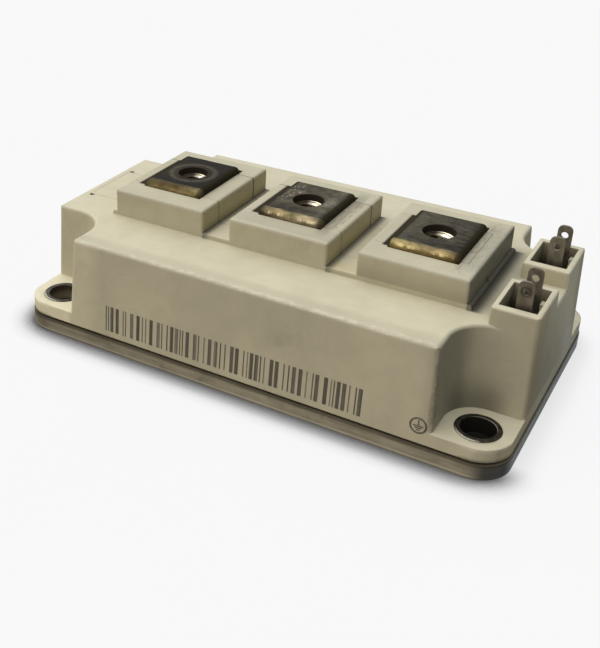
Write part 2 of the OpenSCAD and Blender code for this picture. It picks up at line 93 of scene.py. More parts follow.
# colours from left to right: across a strap's flat top, then high and low across its fold, where
# high and low differ by painted light
STRAP_TONES = {
    "left": (
        ((0.024, 0.016, 0.005), (0.017, 0.012, 0.004), (0.017, 0.012, 0.005)),
        ((0.070, 0.058, 0.024), (0.058, 0.041, 0.018), (0.076, 0.056, 0.025),
         (0.165, 0.130, 0.060)),
        ((0.115, 0.092, 0.037), (0.120, 0.094, 0.038), (0.140, 0.104, 0.046),
         (0.115, 0.095, 0.036))),
    "middle": (
        ((0.078, 0.063, 0.042), (0.064, 0.052, 0.034), (0.110, 0.098, 0.066)),
        ((0.090, 0.076, 0.042), (0.290, 0.228, 0.115), (0.160, 0.132, 0.066),
         (0.335, 0.272, 0.165), (0.145, 0.118, 0.068)),
        ((0.028, 0.022, 0.007), (0.165, 0.132, 0.070), (0.110, 0.093, 0.050))),
    "right": (
        ((0.067, 0.058, 0.037), (0.050, 0.042, 0.027), (0.042, 0.034, 0.021)),
        ((0.325, 0.260, 0.112), (0.275, 0.222, 0.104), (0.210, 0.157, 0.080),
         (0.290, 0.222, 0.111), (0.082, 0.055, 0.019)),
        ((0.163, 0.120, 0.035), (0.130, 0.092, 0.034), (0.088, 0.064, 0.020)))}

# painted shade around each pedestal: where the shaded strip right of the strap ends and its tone,
# the tones
# of the pedestal's right face and of that face's foot, then the shade on the floor beside it:
# where it starts to fade, where it ends, and its tone
PEDESTAL_SHADES = {
    "left": (11.6, 1.0, 0.68, 0.80, 0.2, 1.9, 0.26),
    "middle": (9.4, 0.72, 0.71, 0.80, 0.2, 1.9, 0.26),
    "right": (11.6, 0.76, 0.32, 0.95, 1.0, 3.4, 0.14)}

# width of the dark band along each strap's left edge
EDGE_BAND_WIDTHS = {"left": 2.0, "middle": 2.1, "right": 1.6}

# ---------------------------------------------------------------- camera, light and floor

scene = bpy.context.scene
scene.view_settings.view_transform = "Standard"


def set_camera():
    """The photo's view: from the front right, a little from above."""
    azimuth, elevation, roll = math.radians(31.96), math.radians(26.29), math.radians(0.23)
    target, distance = Vector((-26.0, -5.21, 15.0)) * MM, 224.84 * MM
    back = Vector((math.sin(azimuth) * math.cos(elevation),
                   -math.cos(azimuth) * math.cos(elevation), math.sin(elevation)))
    right = Vector((math.cos(azimuth), math.sin(azimuth), 0))
    up = back.cross(right)
    turned_right = right * math.cos(roll) + up * math.sin(roll)
    turned_up = up * math.cos(roll) - right * math.sin(roll)
    data = bpy.data.cameras.new("camera")
    data.sensor_width = 36
    data.lens = 56.38
    data.shift_x = 0.1725
    data.shift_y = -0.1187
    data.clip_start, data.clip_end = 0.01, 20
    camera = bpy.data.objects.new("camera", data)
    scene.collection.objects.link(camera)
    turn = Matrix((turned_right, turned_up, back)).transposed().to_4x4()
    camera.matrix_world = Matrix.Translation(target + back * distance) @ turn
    scene.camera = camera


def set_light():
    """A soft dome, brightest high on the left and dim below the horizon."""
    world = bpy.data.worlds.new("studio")
    world.use_nodes = True
    scene.world = world
    g = Graph(world.node_tree)
    way = g.add("ShaderNodeTexCoord").outputs["Generated"]
    split = g.add("ShaderNodeSeparateXYZ")
    g.link(way, split.inputs[0])

    def lobe(azimuth, elevation, power):
        """1 towards that direction, fading to 0 at right angles to it."""
        a, e = math.radians(azimuth), math.radians(elevation)
        dot = g.add("ShaderNodeVectorMath", operation="DOT_PRODUCT")
        g.link(way, dot.inputs[0])
        dot.inputs[1].default_value = (math.cos(a) * math.cos(e), math.sin(a) * math.cos(e),
                                       math.sin(e))
        return g.math("POWER", g.math("MAXIMUM", dot.outputs["Value"], 0.0), power)

    sky = g.mix(lobe(200, 58, 1.5), (0.21, 0.25, 0.295), (1.538, 1.478, 1.351), "ADD")
    sky = g.mix(lobe(255, -5, 2.0), sky, (0.131, 0.011, 0.0), "ADD")
    above = g.math("MULTIPLY_ADD", split.outputs[2], 5.0, 0.5, clamp=True)
    back = g.tree.nodes["Background"]
    g.link(g.mix(above, (0.11, 0.10, 0.08), sky), back.inputs["Color"])
    back.inputs["Strength"].default_value = 1.35


def set_floor():
    """Pale paper that glows a little, so that only a faint shadow shows on it, plus painted shade
    near the object.
    """
    half = 6.0
    mesh = bpy.data.meshes.new("floor")
    mesh.from_pydata([(-half, -half, 0), (half, -half, 0), (half, half, 0), (-half, half, 0)],
                     [], [(0, 1, 2, 3)])
    floor = bpy.data.objects.new("floor", mesh)
    scene.collection.objects.link(floor)
    s = Shader("floor_paper", Roughness=0.9)
    s.set("Specular IOR Level", 0.0)
    s.colour(s.mix(s.noise(0.02, 2), (0.047, 0.047, 0.047), (0.053, 0.053, 0.053)))
    # painted soft contact shadow, strongest along the front and round the left end
    near_side = s.either(s.rise(s.y, -22.0, -29.0), s.rise(s.x, -45.0, -50.0))
    contact = s.times(s.rise(s.crevice(6.5), 0.02, 0.42), s.line(near_side, 0.82, 0.18))
    glow = s.mix(contact, (1.0, 1.0, 1.0), (0.10, 0.10, 0.105))
    # painted shade where the mounting holes show it
    under_hole = s.rise(s.hole_radius(), 4.6, 4.2)
    s.feed(s.coat(glow, (0.012, 0.010, 0.008), under_hole), s.bsdf.inputs["Emission Color"])
    s.set("Emission Strength", 0.878)
    mesh.materials.append(s.mat)
    for light_path in ("visible_diffuse", "visible_glossy", "visible_shadow"):
        setattr(floor, light_path, False)


# ---------------------------------------------------------------- node graphs


class Graph:
    """A node tree, with short ways to join sums, masks and colours in it."""

    def __init__(self, tree):
        self.tree = tree

    def add(self, kind, **props):
        node = self.tree.nodes.new(kind)
        for key, value in props.items():
            setattr(node, key, value)
        return node

    def link(self, a, b):
        self.tree.links.new(a, b)

    def feed(self, value, socket):
        """Links a socket, or sets a number or a colour on it."""
        if isinstance(value, bpy.types.NodeSocket):
            self.link(value, socket)
        elif isinstance(value, tuple):
            socket.default_value = (*value, 1.0)[:len(socket.default_value)]
        else:
            socket.default_value = value

    def math(self, op, a, b=0.0, c=0.0, clamp=False):
        node = self.add("ShaderNodeMath", operation=op, use_clamp=clamp)
        for value, socket in zip((a, b, c), node.inputs):
            self.feed(value, socket)
        return node.outputs[0]

    def times(self, *factors):
        out = factors[0]
        for factor in factors[1:]:
            out = self.math("MULTIPLY", out, factor)
        return out

    def either(self, *masks):
        out = masks[0]
        for mask in masks[1:]:
            out = self.math("MAXIMUM", out, mask)
        return out

    def plus(self, a, b):
        return self.math("ADD", a, b)

    def minus(self, a, b):
        return self.math("SUBTRACT", a, b)

    def line(self, value, slope, base):
        """slope * value + base."""
        return self.math("MULTIPLY_ADD", value, slope, base)

    def length(self, a, b):
        return self.math("SQRT", self.plus(self.times(a, a), self.times(b, b)))

    def absolute(self, value):
        return self.math("ABSOLUTE", value)

    def invert(self, mask):
        return self.minus(1.0, mask)

    def rise(self, value, lo, hi):
        """0 below lo, 1 above hi, smooth between. With lo above hi it falls instead."""
        node = self.add("ShaderNodeMapRange", interpolation_type="SMOOTHSTEP")
        flip = lo > hi
        self.feed(value, node.inputs["Value"])
        for key, v in (("From Min", min(lo, hi)), ("From Max", max(lo, hi)),
                       ("To Min", 1.0 if flip else 0.0), ("To Max", 0.0 if flip else 1.0)):
            node.inputs[key].default_value = v
        return node.outputs["Result"]

    def off(self, value, centre):
        """Distance of a value from a centre."""
        return self.absolute(self.minus(value, centre))

    def near(self, value, centre, half, soft):
        """1 within half of a centre, 0 beyond half + soft."""
        return self.rise(self.off(value, centre), half + soft, half)

    def between(self, value, lo, hi, soft):
        """1 inside two limits, fading to 0 at them."""
        return self.near(value, (lo + hi) / 2, (hi - lo) / 2 - soft, soft)

    def dim(self, k, *masks):
        """Factor that is k where all masks are 1, and 1 elsewhere."""
        return self.line(self.times(*masks), k - 1.0, 1.0)

    def scale(self, colour, factor):
        node = self.add("ShaderNodeVectorMath", operation="SCALE")
        self.feed(colour, node.inputs[0])
        self.feed(factor, node.inputs["Scale"])
        return node.outputs[0]

    def mix(self, factor, a, b, blend="MIX"):
        node = self.add("ShaderNodeMix", data_type="RGBA", blend_type=blend, clamp_factor=True)
        self.feed(factor, node.inputs["Factor"])
        self.feed(a, node.inputs[6])
        self.feed(b, node.inputs[7])
        return node.outputs[2]

    def shade(self, colour, k, *masks):
        """The colour, k times as bright where all masks are 1."""
        return self.scale(colour, self.dim(k, *masks))

    def coat(self, colour, tone, *masks):
        """The colour with a tone laid over it; a number among the masks is the coat's strength."""
        return self.mix(self.times(*masks), colour, tone)

    def tinge(self, colour, tone, *masks):
        """The colour multiplied by a tone where all masks are 1."""
        return self.mix(self.times(*masks), colour, tone, "MULTIPLY")

    def ramp(self, value, lo, hi, colours):
        """Colours spread evenly between two values."""
        place = self.add("ShaderNodeMapRange")
        self.feed(value, place.inputs["Value"])
        place.inputs["From Min"].default_value = lo
        place.inputs["From Max"].default_value = hi
        node = self.add("ShaderNodeValToRGB")
        stops = node.color_ramp.elements
        while len(stops) < len(colours):
            stops.new(0.5)
        for i, colour in enumerate(colours):
            stops[i].position = i / (len(colours) - 1)
            stops[i].color = (*colour, 1)
        self.link(place.outputs["Result"], node.inputs["Fac"])
        return node.outputs["Color"]


class Shader(Graph):
    """One node material. Every place and scale in it is in millimetres of the CAD frame."""

    def __init__(self, name, **fixed):
        self.mat = bpy.data.materials.new(name)
        self.mat.use_nodes = True
        super().__init__(self.mat.node_tree)
        self.bsdf = self.tree.nodes["Principled BSDF"]
        for key, value in fixed.items():
            self.set(key, value)
        coord = self.add("ShaderNodeTexCoord")
        self.p = self.scale(coord.outputs["Object"], 1000)
        self.x, self.y, self.z = self.split(self.p)
        self.normal = self.add("ShaderNodeNewGeometry").outputs["Normal"]
        self.nx, self.ny, self.nz = self.split(self.normal)

    def split(self, vector):
        node = self.add("ShaderNodeSeparateXYZ")
        self.link(vector, node.inputs[0])
        return node.outputs

    def set(self, name, value):
        self.bsdf.inputs[name].default_value = value

    def radius(self, x, y):
        """Distance from an upright axis."""
        return self.length(self.minus(self.x, x), self.minus(self.y, y))

    def hole_radius(self):
        """Distance from the nearest mounting hole's axis."""
        return self.length(self.minus(self.absolute(self.x), hole_x),
                           self.minus(self.absolute(self.y), hole_y))

    def noise(self, scale, detail, rough=0.5, stretch=(1, 1, 1), twist=0.0, shift=0.0):
        """Noise from 0 to 1; shift moves it to another place in the pattern."""
        place = self.add("ShaderNodeMapping")
        place.inputs["Scale"].default_value = stretch
        place.inputs["Location"].default_value = (shift, shift * 0.7, -shift)
        self.link(self.p, place.inputs["Vector"])
        node = self.add("ShaderNodeTexNoise")
        for key, v in (("Scale", scale), ("Detail", detail), ("Roughness", rough),
                       ("Distortion", twist)):
            node.inputs[key].default_value = v
        self.link(place.outputs[0], node.inputs["Vector"])
        return node.outputs["Fac"]

    def patches(self, lo, hi, *args, **more):
        """Noise cut to patches: 0 where it is under lo, 1 where it is over hi."""
        return self.rise(self.noise(*args, **more), lo, hi)

    def soft_normal(self, radius):
        """Surface direction with the sharp edges rounded over."""
        bevel = self.add("ShaderNodeBevel", samples=6)
        self.feed(self.times(radius, MM), bevel.inputs["Radius"])
        return bevel.outputs[0]

    def edges(self, radius):
        """1 along sharp edges, fading out at that distance."""
        dot = self.add("ShaderNodeVectorMath", operation="DOT_PRODUCT")
        self.link(self.soft_normal(radius), dot.inputs[0])
        self.link(self.normal, dot.inputs[1])
        return self.rise(dot.outputs["Value"], 0.995, 0.90)

    def crevice(self, distance):
        """1 deep in corners and gaps, 0 on open faces."""
        node = self.add("ShaderNodeAmbientOcclusion", samples=8)
        node.inputs["Distance"].default_value = distance * MM
        return self.invert(node.outputs["AO"])

    def colour(self, value):
        self.feed(value, self.bsdf.inputs["Base Color"])

    def rough(self, value):
        self.feed(value, self.bsdf.inputs["Roughness"])

    def metal(self, value):
        self.feed(value, self.bsdf.inputs["Metallic"])

    def bump(self, height, depth, strength, soften=None):
        """Relief of that depth; soften is the radius that its sharp edges are rounded to."""
        node = self.add("ShaderNodeBump")
        node.inputs["Strength"].default_value = strength
        node.inputs["Distance"].default_value = depth * MM
        self.link(height, node.inputs["Height"])
        if soften is not None:
            self.link(self.soft_normal(soften), node.inputs["Normal"])
        self.link(node.outputs[0], self.bsdf.inputs["Normal"])


# ---------------------------------------------------------------- the plastic of the housing


class Plastic(Shader):
    """A plastic material with masks for the sides of the housing."""

    def __init__(self, name):
        super().__init__(name)
        self.flat = self.rise(self.nz, 0.6, 0.9)
        self.upright = self.rise(self.nz, 0.5, 0.2)
        self.to_right = self.rise(self.nx, 0.5, 0.9)
        self.to_front = self.rise(self.ny, -0.5, -0.9)
        self.over_floor = self.rise(self.z, FLOOR_Z - 0.1, FLOOR_Z + 0.1)
        self.on_pedestal = self.rise(self.z, pedestal_top - 0.5, pedestal_top - 0.1)
        # the long front face and the face of the right end
        self.front = self.times(self.rise(self.ny, -0.2, -0.95), self.rise(self.y, -28.0, -28.6))
        self.end = self.times(self.rise(self.x, 50.6, 52.6), self.rise(self.nx, 0.1, 0.8))


def mottled(s, tint):
    """Cloudy base colour with faint brown stains, fine specks and rubbed patches."""
    cloud = s.patches(0.36, 0.64, 0.06, 4, 0.55)
    colour = s.mix(cloud, tuple(c * 0.97 for c in tint), tuple(c * 1.03 for c in tint))
    # painted warmer light: the uprights are a little yellower than the tops
    colour = s.tinge(colour, (0.97, 0.955, 0.88), s.upright, s.invert(s.end))
    stain = s.patches(0.56, 0.74, 0.16, 5, 0.6, shift=31.0)
    colour = s.coat(colour, (0.24, 0.21, 0.12), stain, s.upright, 0.22)
    speck = s.patches(0.66, 0.80, 2.6, 3, 0.6, shift=9.0)
    colour = s.coat(colour, (0.12, 0.10, 0.065), speck, 0.25)
    rub = s.patches(0.62, 0.72, 0.9, 4, 0.65, stretch=(0.35, 1.6, 1.6), twist=0.6, shift=57.0)
    region = s.patches(0.45, 0.60, 0.12, 2, shift=4.0)
    return s.coat(colour, (0.20, 0.17, 0.12), rub, region, 0.18)


def top_shades(s):
    """Factors of brightness, mostly painted light and shade, for the flat tops and the rounded
    edges.
    """
    on_roof = s.rise(s.z, ROOF_Z - 1.2, ROOF_Z - 0.6)
    step_z = s.between(s.z, FLOOR_Z - 0.2, FLOOR_Z + 0.2, 0.05)
    step_x = s.either(*(s.near(s.x, x0, PED_X + 0.3, 0.1) for x0 in strap_x.values()))
    return [
        # painted light on the lower tops, painted shade on the pedestal tops
        s.dim(1.06, s.flat, s.invert(s.on_pedestal)),
        s.dim(0.89, s.flat, s.on_pedestal),
        # shade on the roof right of the right pedestal
        s.dim(0.74, s.flat, s.between(s.x, 38.5, 44.5, 1.2), s.near(s.z, 23.4, 0.4, 0.2),
              s.near(s.y, 1.0, 12.0, 5.0)),
        # painted shade on the rounded edges
        s.dim(0.86, s.rise(s.nz, 0.10, 0.4), s.rise(s.nz, 0.92, 0.60)),
        # painted light on the flange of the left end
        s.dim(1.26, s.rise(s.z, FLANGE_Z + 0.4, FLANGE_Z + 0.1), s.rise(s.x, -39.4, -40.8)),
        # painted shade on the rim of the roof along the front right notch
        s.dim(0.85, s.flat, s.rise(s.x, 42.0, 45.0), s.rise(s.y, -17.0, -18.5), on_roof),
        # painted shade on the narrow step in front of each pedestal, as dark as the pedestal's
        # front
        s.dim(0.50, s.flat, s.between(s.y, -15.6, -13.9, 0.05), step_z, step_x),
        # the roof, darker along its front edge
        s.dim(0.87, s.flat, s.rise(s.y, -24.5, -27.0), on_roof),
        # top of the middle pedestal in front of its strap
        s.dim(0.88, s.flat, s.on_pedestal, s.near(s.x, 0.0, 10.0, 1.5),
              s.near(s.y, -10.9, 2.0, 0.6))]


def pedestal_shades(s):
    """Painted shade: factors of brightness right of each strap, down the pedestals and on the
    floor there.
    """
    factors = []
    for key, shades in PEDESTAL_SHADES.items():
        strip_end, strip_tone, face_tone, foot_tone, fade, reach, floor_tone = shades
        x0 = strap_x[key]
        # painted shade on the strip right of the strap
        strip = s.between(s.x, x0 + 6.0, x0 + strip_end, 1.0)
        factors.append(s.dim(strip_tone, strip, s.on_pedestal, s.near(s.y, 0.5, 8.5, 5.0)))
        # painted shade on the right face, darker at its foot
        face = s.times(s.near(s.x, x0 + PED_X - 0.35, 0.5, 0.2), s.over_floor, s.to_right)
        factors.append(s.dim(face_tone, face))
        factors.append(s.dim(foot_tone, face, s.rise(s.z, 26.6, 24.4)))
        # painted shade on the floor and the roof beside it
        past = s.minus(s.x, x0 + PED_X)
        beside = s.times(s.rise(past, reach, fade), s.rise(past, -0.3, -0.1))
        low = s.rise(s.z, FLOOR_Z + 0.3, FLOOR_Z + 0.1)
        factors.append(s.dim(floor_tone, beside, low, s.near(s.y, 0.3, PED_Y, 0.8),
                             s.rise(s.z, ROOF_Z - 1.2, ROOF_Z - 0.9)))
    # painted shade on the fronts of the pedestals; the right one darkens towards its foot
    factors.append(s.dim(0.87, s.to_front, s.rise(s.z, ROOF_Z + 0.05, ROOF_Z + 0.2),
                         s.rise(s.x, 40.4, 40.0)))
    right_front = s.times(s.near(s.x, strap_x["right"], PED_X, 0.1), s.over_floor, s.to_front)
    factors.append(s.dim(0.74, right_front, s.rise(s.z, 28.5, 24.4)))
    return factors


def side_shades(s):
    """Factors of brightness, mostly painted light and shade, for the front face, the right end and
    the front right notch.
    """
    over_flange = s.rise(s.z, FLANGE_Z, FLANGE_Z + 0.8)
    uneven = s.patches(0.40, 0.60, 0.035, 3, 0.5, stretch=(1.0, 1.0, 0.6), shift=25.0)
    climb = s.plus(s.times(s.y, 0.038), s.times(s.z, 0.050))
    notch = s.times(s.rise(s.x, 38.6, 39.4), s.rise(s.y, -16.3, -16.6), s.upright,
                    s.invert(s.front), s.invert(s.end))
    return [
        # front: painted light at its left end, uneven beyond it, darker towards its right edge
        s.dim(1.14, s.front, s.rise(s.x, -31.0, -36.5)),
        s.dim(0.90, s.front, uneven, s.rise(s.x, -37.0, -31.0)),
        s.dim(0.84, s.front, s.rise(s.x, 36.5, 39.0),
              s.rise(s.z, FLANGE_Z + 0.1, FLANGE_Z + 0.8)),
        # end: painted shade low in front, painted light high at the rear
        s.dim(0.72, s.end, s.rise(climb, 0.9, 0.1), over_flange),
        s.dim(1.30, s.end, s.rise(climb, 0.6, 1.3), s.rise(s.y, 16.0, 10.0)),
        s.dim(1.14, s.end, s.rise(s.z, 14.0, 9.0), s.rise(s.y, 5.0, 12.0)),
        # painted shade on the walls of the notch, darkest low down in its corner
        s.dim(0.66, notch, s.to_right),
        s.dim(0.84, notch),
        s.dim(0.45, notch, s.rise(s.z, 15.0, 6.5), s.rise(s.radius(44.0, -19.5), 7.5, 2.5))]


def warmed(s, colour):
    """Painted light colour: warm right faces and gap beside the middle pedestal; yellow front and
    blue rear end.
    """
    colour = s.tinge(colour, (1.0, 0.97, 0.80), s.over_floor, s.to_right,
                     s.rise(s.x, 36.0, 12.0))
    colour = s.tinge(colour, (1.0, 0.97, 0.85), s.flat, s.near(s.x, 14.0, 3.0, 0.5),
                     s.between(s.z, FLOOR_Z - 0.4, FLOOR_Z + 0.3, 0.1),
                     s.rise(s.y, -8.0, -13.0))
    colour = s.tinge(colour, (1.0, 0.94, 0.83), s.end, s.rise(s.y, -8.0, -13.0))
    return s.tinge(colour, (1.0, 1.02, 1.12), s.end, s.rise(s.y, -2.0, 10.0),
                   s.rise(s.z, 18.0, 10.0))


def rubbed(s, colour):
    """Light wear on the roof's front edge and marks on the strips right of two straps."""
    chip = s.patches(0.46, 0.60, 1.1, 4, 0.65, stretch=(0.6, 1, 1), shift=77.0)
    colour = s.coat(colour, (0.58, 0.55, 0.43), s.between(s.z, 22.7, 23.5, 0.15),
                    s.between(s.y, -29.3, -28.1, 0.25), chip, 0.42)
    blot = s.patches(0.35, 0.65, 0.30, 4, 0.6, shift=44.0)
    colour = s.scale(colour, s.line(blot, 0.05, 0.975))

    mark = s.noise(1.0, 4, 0.6, stretch=(1.3, 0.38, 1), twist=0.6, shift=63.0)
    right, mid = strap_x["right"], strap_x["middle"]
    strip = s.times(s.between(s.x, right + strap_half, right + PED_X, 0.3), s.on_pedestal,
                    s.near(s.y, 0.0, 12.0, 4.0))
    colour = s.coat(colour, (0.45, 0.44, 0.38), strip, s.rise(mark, 0.44, 0.60), 0.20)
    colour = s.coat(colour, (0.11, 0.095, 0.07), strip, s.rise(s.x, 37.4, 36.0),
                    s.rise(mark, 0.47, 0.38), 0.32)
    # a dark spot at the foot of the right pedestal
    colour = s.coat(colour, (0.040, 0.030, 0.018), s.rise(s.radius(39.2, -3.0), 1.1, 0.2),
                    s.near(s.z, FLOOR_Z + 0.4, 0.5, 0.5), 0.8)
    strip = s.times(s.between(s.x, mid + strap_half, mid + 9.8, 0.3), s.on_pedestal,
                    s.near(s.y, -0.5, 7.2, 1.2))
    return s.coat(colour, (0.19, 0.15, 0.105), strip, s.rise(mark, 0.54, 0.44), 0.50)


def crevice_shade_and_wear(s, colour):
    """Painted shade where faces meet, and brown wear down the edge beside the front right notch.
    """
    # painted shade in corners and gaps
    colour = s.coat(colour, (0.085, 0.070, 0.045), s.rise(s.crevice(1.6), 0.35, 0.95), 0.55)
    worn = s.patches(0.34, 0.58, 0.8, 4, 0.6, shift=15.0)
    return s.coat(colour, (0.17, 0.13, 0.08), s.near(s.x, 39.6, 0.35, 0.50),
                  s.rise(s.y, -27.6, -28.2), s.between(s.z, FLANGE_Z, 20.5, 1.5), worn, 0.45)


def strap_edge_band(s):
    """Mask of the dark band along the left edge of each strap."""
    strips = []
    for key, width in EDGE_BAND_WIDTHS.items():
        beside = s.minus(strap_x[key] - strap_half, s.x)
        strips.append(s.times(s.rise(beside, width, width - 0.6), s.rise(beside, -0.3, -0.1),
                              s.on_pedestal, s.near(s.y, -0.3, 7.8, 0.6)))
    return s.either(*strips)


def gaps(s, colour):
    """Dark seams of the nut carrier, and painted shade in the pockets behind the straps' free ends
    and in the wells.
    """
    # the seams show on two right faces and on two pedestal tops
    left_two = s.rise(s.x, 13.0, 12.0)
    front_seam = s.near(s.y, -carrier_half - 0.03, 0.07, 0.10)
    rear_seam = s.near(s.y, carrier_half + 0.03, 0.15, 0.12)
    on_faces = s.times(s.rise(s.z, FLOOR_Z - 0.1, FLOOR_Z), s.rise(s.nx, 0.3, 0.7), left_two)
    on_tops = s.times(s.rise(s.z, pedestal_top - 0.1, pedestal_top - 0.05), left_two,
                      s.near(s.y, carrier_half + 0.05, 0.06, 0.08))
    seam = s.either(s.times(on_faces, s.either(s.times(front_seam, 0.85), rear_seam)),
                    s.times(on_tops, 0.75))
    colour = s.coat(colour, (0.030, 0.024, 0.015), seam)

    # painted shade in the pockets behind the straps' free ends
    slot = s.either(*(s.near(s.x, x0, strap_half + 0.1, 0.05) for x0 in strap_x.values()))
    colour = s.coat(colour, (0.020, 0.016, 0.010), slot,
                    s.between(s.y, carrier_half, 10.05, 0.05),
                    s.between(s.z, 27.3, pedestal_top - 0.1, 0.05), 0.9)

    # painted shade inside the wells, darker deeper down; less of it on the ribs beside their tabs
    # and on part of the right wall
    aside = s.absolute(s.y)
    inside = s.times(s.between(s.x, 44.5, 51.5, 0.06), s.rise(s.z, WELL_Z - 0.05, WELL_Z - 0.25),
                     s.between(aside, 5.0, 15.15, 0.06), s.rise(s.z, 15.8, 15.9))
    ribs = s.times(s.near(s.off(s.x, tab_x), 2.0, 0.40, 0.04), s.rise(s.z, 25.2, 25.1),
                   s.near(s.off(aside, 10.5), 3.0, 0.85, 0.04))
    depth = s.line(s.rise(s.z, 26.4, 21.0), 0.50, 0.40)
    right_wall = s.times(s.rise(s.nx, -0.5, -0.9), s.rise(s.y, -2.0, 2.0),
                         s.rise(s.x, 50.0, 51.0))
    return s.coat(colour, (0.028, 0.020, 0.010), inside, depth, s.dim(0.35, ribs),
                  s.dim(0.55, right_wall))


def plastic(name, tint):
    """Aged cream moulded plastic: mottled, stained, rubbed, with painted light and shade on its
    faces and painted shade in its corners.
    """
    s = Plastic(name)
    s.set("Specular IOR Level", 0.25)
    colour = mottled(s, tint)
    colour = s.scale(colour, s.times(*top_shades(s), *pedestal_shades(s), *side_shades(s)))
    colour = crevice_shade_and_wear(s, rubbed(s, warmed(s, colour)))
    edge_band = strap_edge_band(s)
    colour = s.coat(colour, (0.014, 0.008, 0.002), edge_band, 0.98)
    s.colour(gaps(s, colour))
    s.rough(s.either(s.plus(s.times(s.noise(0.8, 3, shift=3.0), 0.18), 0.44), edge_band))
    grain = s.plus(s.times(s.noise(7.0, 2), 0.5), s.times(s.noise(1.1, 3, shift=12.0), 0.9))
    # the flange's corners are rounded more than the other edges
    corner = s.times(s.rise(s.z, FLANGE_Z + 0.6, FLANGE_Z + 0.2),
                     s.rise(s.off(s.x, 0.0), 44.0, 47.0), s.rise(s.off(s.y, 0.0), 24.0, 27.0))
    s.bump(grain, 0.03, 0.6, soften=s.line(corner, 0.9, 0.26))
    return s.mat


# ---------------------------------------------------------------- metals and the other materials


def plate_metal():
    """Nickel plate gone dull: brownish grey, streaked along its sides, with painted light and
    shade on its sides and in its holes.
    """
    s = Shader("plate_nickel")
    streak = s.noise(0.5, 5, 0.6, stretch=(0.2, 0.2, 3.0))
    colour = s.mix(s.rise(streak, 0.30, 0.70), (0.305, 0.275, 0.185), (0.415, 0.375, 0.26))
    patch = s.patches(0.42, 0.62, 0.16, 4, 0.6, stretch=(1, 1, 2), shift=52.0)
    colour = s.shade(colour, 0.84, patch)
    # darker towards its left end, and most of all at the end itself
    colour = s.shade(colour, 0.80, s.rise(s.x, 5.0, -40.0))
    colour = s.shade(colour, 0.50, s.rise(s.x, -42.0, -52.0), s.rise(patch, -0.6, 0.6))
    # painted light: lighter grey on its right side; painted shade round the front right corner
    grey = s.mix(s.rise(streak, 0.34, 0.66), (0.40, 0.42, 0.42), (0.56, 0.59, 0.59))
    colour = s.mix(s.rise(s.nx, 0.3, 0.9), colour, grey)
    corner = s.times(s.rise(s.nx, 0.05, 0.55), s.rise(s.y, -23.0, -27.0),
                     s.rise(s.x, 42.0, 47.0))
    colour = s.coat(colour, (0.036, 0.033, 0.029), corner, 0.92)
    spots = s.patches(0.58, 0.72, 0.35, 4, 0.6, shift=21.0)
    colour = s.coat(colour, (0.12, 0.095, 0.065), spots, 0.35)
    # a painted highlight line over a dark lower edge, and painted shade under the seal
    colour = s.coat(colour, (0.66, 0.63, 0.52), s.near(s.z, 0.55, 0.05, 0.12),
                    s.rise(s.nx, 0.4, 0.1), 0.45)
    colour = s.coat(colour, (0.07, 0.06, 0.045), s.rise(s.z, 0.30, 0.10), 0.6)
    colour = s.coat(colour, (0.035, 0.026, 0.013), s.rise(s.z, 2.3, 2.95), 0.7)
    # painted shade in and around its holes
    bore = s.rise(s.hole_radius(), 4.4, 4.2)
    s.colour(s.coat(colour, (0.012, 0.010, 0.007), bore))
    s.metal(s.times(s.invert(bore), s.invert(corner), 0.30))
    s.rough(s.plus(s.times(streak, 0.25), 0.42))
    s.bump(s.noise(1.4, 4, stretch=(0.3, 0.3, 4.0), shift=8.0), 0.03, 0.5)
    return s.mat


def seal_rubber():
    """Dark adhesive between the plate and the housing."""
    s = Shader("seal_adhesive", Roughness=0.8)
    s.set("Specular IOR Level", 0.1)
    s.colour(s.mix(s.noise(1.5, 3), (0.012, 0.009, 0.005), (0.042, 0.031, 0.016)))
    s.bump(s.noise(3.0, 3, shift=2.0), 0.08, 0.6)
    return s.mat


def strap_flat(s, key, u, fine):
    """Colour of a strap's flat top; u runs across the strap from its middle."""
    x0 = strap_x[key]
    blotch = s.patches(0.32, 0.68, 0.55, 5, 0.62, shift=x0)
    top = s.ramp(u, -5.5, 5.5, STRAP_TONES[key][0])
    top = s.scale(top, s.line(blotch, 0.75, 0.62))
    top = s.shade(top, 0.56, s.rise(s.y, -2.5, -5.5))
    top = s.shade(top, 0.86, s.rise(s.y, 3.2, 5.0))
    # painted shade along the right edge
    top = s.shade(top, 0.62, s.rise(u, 4.9, 5.6))
    if key == "left":
        # rubbed ring of a washer, and the darker metal around it
        r = s.radius(x0, 0)
        top = s.shade(top, 0.60, s.rise(r, 5.2, 6.4))
        ring = s.times(s.near(r, 4.8, 0.20, 0.60), s.rise(fine, 0.25, 0.60))
        return s.coat(top, (0.095, 0.080, 0.054), ring, 0.65)
    if key == "middle":
        # short light scratches left of the hole and a pale smear right of it
        scratch = s.patches(0.62, 0.68, 1.5, 2, 0.4, stretch=(3.2, 0.5, 1), shift=5.0)
        top = s.coat(top, (0.50, 0.47, 0.40), scratch, s.rise(u, -2.6, -3.4),
                     s.near(s.y, 2.0, 4.0, 1.0), 0.8)
        return s.coat(top, (0.30, 0.28, 0.23), s.rise(s.radius(x0 + 4.4, 0.6), 2.2, 0.4),
                      s.rise(fine, 0.40, 0.62), 0.6)
    # grey streaks along the right strap
    streak = s.patches(0.46, 0.66, 0.7, 4, 0.6, stretch=(0.45, 2.2, 1), twist=0.5, shift=18.0)
    return s.coat(top, (0.15, 0.14, 0.12), streak, 0.28)


